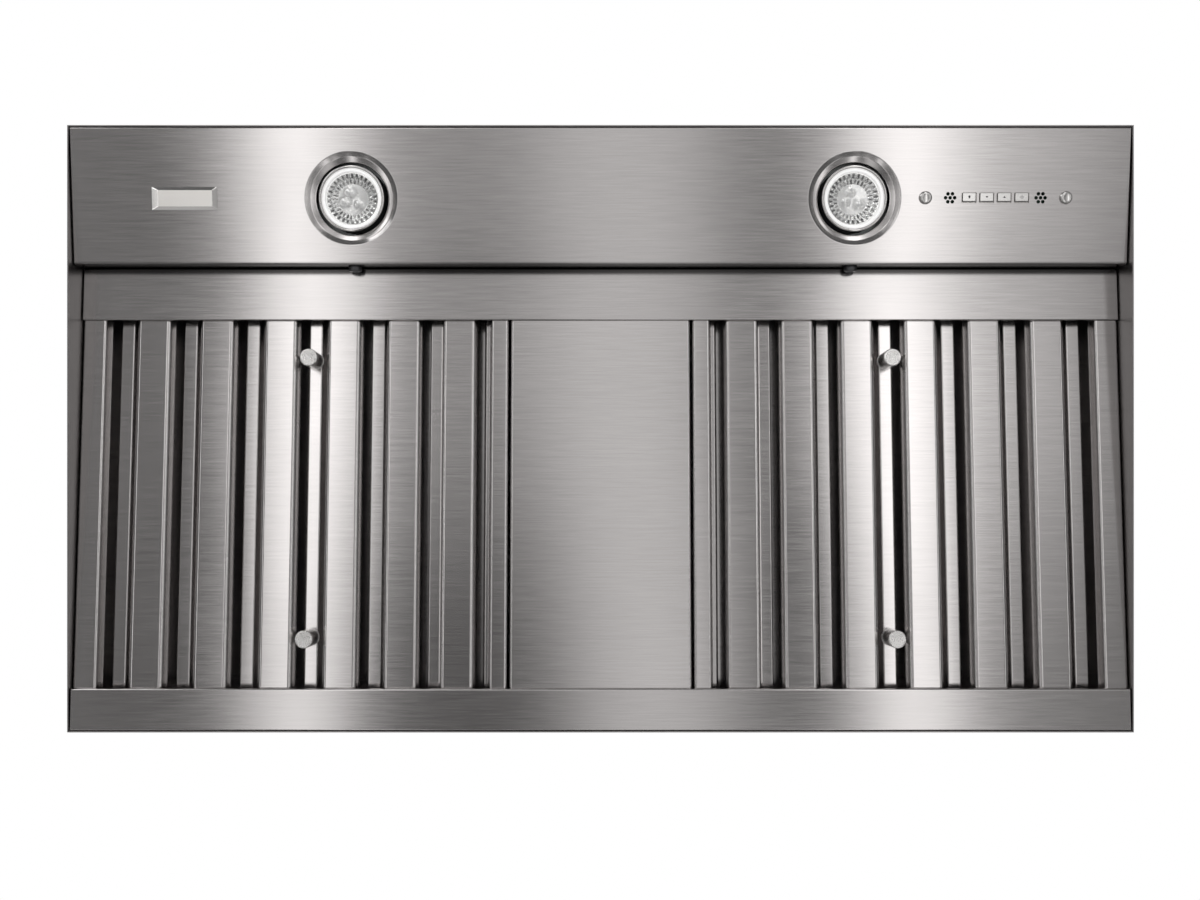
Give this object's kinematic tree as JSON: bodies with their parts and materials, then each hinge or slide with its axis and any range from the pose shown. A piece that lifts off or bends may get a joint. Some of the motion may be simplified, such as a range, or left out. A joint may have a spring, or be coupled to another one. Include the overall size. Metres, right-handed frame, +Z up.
{
  "type": "range hood insert",
  "caption": "Stainless range hood insert with sliding baffle filters, recessed lamps, push buttons, a centrifugal blower and a round damper collar.",
  "frame": {"origin": "centre of the lower rim of the liner, in the plane of the opening it hangs in", "axes": "+X to the user's right along the long side, +Y to the wall behind, +Z up towards the duct"},
  "size_m": [0.873, 0.4972, 0.3468],
  "materials": {
    "stainless": "brushed along the sheet, satin",
    "galvanised": "galvanised, faint spangle",
    "turned_steel": "turned, fine rings",
    "dark_steel": "blackened",
    "button_cap": "satin metal cap",
    "black_plastic": "fine moulded satin",
    "circuit_board": "solder resist",
    "motor_paint": "satin enamel",
    "capacitor_can": "moulded can",
    "reflector": "polished reflector",
    "lamp_glass": "clear, fluted",
    "ceramic": "unglazed"
  },
  "bodies": {
    "liner": {"left_wall": "stainless", "right_wall": "stainless", "back_wall": "stainless", "front_wall": "stainless", "control_panel": "stainless", "filter_retainer": "stainless", "grease_trough": "stainless", "centre_plate": "stainless", "roof_panel": "galvanised", "duct_collar": "galvanised", "scroll_housing": "galvanised", "capacitor_clip": "galvanised", "junction_box": "galvanised", "junction_cover": "galvanised", "damper_pin": "turned_steel", "motor": "motor_paint", "motor_mount": "dark_steel", "capacitor": "capacitor_can", "cable_gland": "black_plastic", "switch_box": "black_plastic", "control_board": "circuit_board", "left_lamp_bezel": "stainless", "left_lamp_bulb": "reflector", "left_lamp_lens": "lamp_glass", "left_lamp_socket": "ceramic", "left_lamp_bracket": "galvanised", "left_flange_screw": "dark_steel", "left_control_screw": "turned_steel", "right_lamp_bezel": "stainless", "right_lamp_bulb": "reflector", "right_lamp_lens": "lamp_glass", "right_lamp_socket": "ceramic", "right_lamp_bracket": "galvanised", "right_flange_screw": "dark_steel", "right_control_screw": "turned_steel"},
    "left_filter": {"left_filter_frame": "stainless", "left_baffle_1": "stainless", "left_baffle_2": "stainless", "left_baffle_3": "stainless", "left_baffle_4": "stainless", "left_baffle_5": "stainless", "left_baffle_6": "stainless", "left_front_knob": "turned_steel", "left_rear_knob": "turned_steel"},
    "right_filter": {"right_filter_frame": "stainless", "right_baffle_1": "stainless", "right_baffle_2": "stainless", "right_baffle_3": "stainless", "right_baffle_4": "stainless", "right_baffle_5": "stainless", "right_baffle_6": "stainless", "right_front_knob": "turned_steel", "right_rear_knob": "turned_steel"},
    "button_1_body": {"button_1": "button_cap"},
    "button_2_body": {"button_2": "button_cap"},
    "button_3_body": {"button_3": "button_cap"},
    "button_4_body": {"button_4": "button_cap"},
    "wheel": {"blower_wheel": "galvanised"},
    "back_flap": {"back_damper_flap": "galvanised"},
    "front_flap": {"front_damper_flap": "galvanised"}
  },
  "joints": [
    {"name": "left_filter_slide", "type": "slide", "parent": "liner", "child": "left_filter", "axis": [0, -0.9974, 0.0715], "range_m": [0, 0.01395]},
    {"name": "right_filter_slide", "type": "slide", "parent": "liner", "child": "right_filter", "axis": [0, -0.9974, 0.0715], "range_m": [0, 0.01395]},
    {"name": "button_1_press", "type": "slide", "parent": "liner", "child": "button_1_body", "axis": [0, -0.0778, 0.997], "range_m": [0, 0.0015], "stiffness_N_per_m": 300, "springref_m": -0.001},
    {"name": "button_2_press", "type": "slide", "parent": "liner", "child": "button_2_body", "axis": [0, -0.0778, 0.997], "range_m": [0, 0.0015], "stiffness_N_per_m": 300, "springref_m": -0.001},
    {"name": "button_3_press", "type": "slide", "parent": "liner", "child": "button_3_body", "axis": [0, -0.0778, 0.997], "range_m": [0, 0.0015], "stiffness_N_per_m": 300, "springref_m": -0.001},
    {"name": "button_4_press", "type": "slide", "parent": "liner", "child": "button_4_body", "axis": [0, -0.0778, 0.997], "range_m": [0, 0.0015], "stiffness_N_per_m": 300, "springref_m": -0.001},
    {"name": "wheel_spin", "type": "hinge", "parent": "liner", "child": "wheel", "pos_m": [0, -0.04, 0.184], "axis": [1, 0, 0], "continuous": true},
    {"name": "back_flap_hinge", "type": "hinge", "parent": "liner", "child": "back_flap", "pos_m": [0, 0.045, 0.3053], "axis": [1, 0, 0], "range_deg": [0, 75]},
    {"name": "front_flap_hinge", "type": "hinge", "parent": "liner", "child": "front_flap", "pos_m": [0, 0.045, 0.3053], "axis": [-1, 0, 0], "range_deg": [0, 75]}
  ]
}
